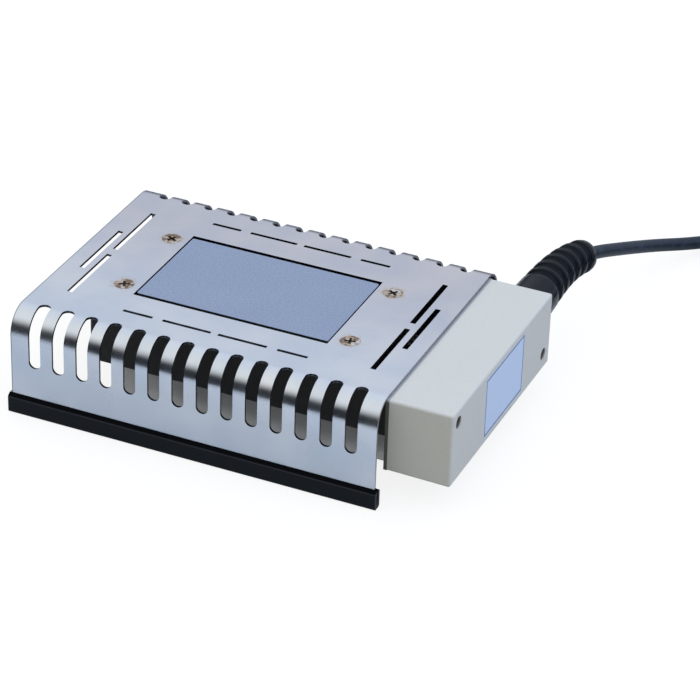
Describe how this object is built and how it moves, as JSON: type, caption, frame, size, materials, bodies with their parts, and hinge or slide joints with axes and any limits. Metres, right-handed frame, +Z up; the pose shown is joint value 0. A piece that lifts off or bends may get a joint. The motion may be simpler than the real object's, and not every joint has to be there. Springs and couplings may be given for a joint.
{
  "type": "bench heating plate",
  "caption": "Flat electric heating plate flush in a slotted bent-steel guard on black edge strips, with an end connection box, a ribbed strain relief and a low-voltage lead and plug.",
  "frame": {"origin": "on the bench, under the middle of the heater's bounding box, measured without the lead and its strain relief", "axes": "+X along the guard towards the connection box, +Y to the rear, where the lead leaves, +Z up"},
  "size_m": [0.2997, 0.2743, 0.0432],
  "materials": {
    "guard_steel": "satin rolled sheet, bright on the bends",
    "strip_rubber": "matt black extruded profile",
    "plate_coated_aluminium": "matt blue-grey hard coat",
    "mica": "pressed mica sheet",
    "plain_steel": "zinc-plated",
    "fibre_board": "pale mineral-fibre board",
    "ceramic": "unglazed white ceramic",
    "tinted_screws": "heat-tinted plated steel",
    "tray_black": "matt black heat-proof paint",
    "shield_grey": "dull mill finish",
    "lead_insulation": "white glass-fibre sleeve",
    "earth_insulation": "green sleeve",
    "contact_brass": "bright turned brass",
    "back_plate_dark": "dark laminate",
    "box_plastic": "light grey-beige, fine texture",
    "label_blue": "pale blue film with a thin blue edge, bare",
    "terminal_plastic": "white thermoset",
    "relief_rubber": "black moulded rubber",
    "cord_jacket": "black jacket, faint sheen",
    "tie_plastic": "black moulded strap",
    "plug_plastic": "black moulded grip",
    "insert_plastic": "dark insert",
    "ring_metal": "nickel-plated, fluted"
  },
  "bodies": {
    "heater": {"block_screws": "plain_steel", "box_back_plate": "back_plate_dark", "box_screws": "plain_steel", "ceramic_spacers": "ceramic", "coil_tie": "tie_plastic", "connection_box": "box_plastic", "connector_boot": "relief_rubber", "connector_clip": "plain_steel", "connector_insert": "insert_plastic", "connector_pins": "contact_brass", "connector_shell": "plug_plastic", "cord_clamp": "terminal_plastic", "cord_clamp_screws": "plain_steel", "cord_coil": "cord_jacket", "cord_cores": "lead_insulation", "cord_end": "cord_jacket", "cord_lead": "cord_jacket", "cord_tail": "cord_jacket", "cover": "guard_steel", "earth_lead": "earth_insulation", "earth_screw": "contact_brass", "front_edge_strip": "strip_rubber", "heat_baffle": "tray_black", "heat_shield": "shield_grey", "heater_housing": "tray_black", "heater_leads": "lead_insulation", "heating_element": "mica", "heating_plate": "plate_coated_aluminium", "insulation_board": "fibre_board", "lead_grommet": "strip_rubber", "plate_rivets": "plain_steel", "plate_screws": "tinted_screws", "pressure_plate": "plain_steel", "rating_label": "label_blue", "rear_edge_strip": "strip_rubber", "sensor_leads": "lead_insulation", "shield_nuts": "plain_steel", "shield_screws": "plain_steel", "shield_spacers": "plain_steel", "standoffs": "plain_steel", "strain_relief": "relief_rubber", "temperature_sensor": "plain_steel", "terminal_block": "terminal_plastic", "terminal_screws": "contact_brass"},
    "coupling_ring": {"connector_ring": "ring_metal"}
  },
  "joints": [
    {"name": "ring_turn", "type": "hinge", "parent": "heater", "child": "coupling_ring", "pos_m": [0.2024, 0.1028, 0.009], "axis": [0, -1, 0], "continuous": true}
  ]
}
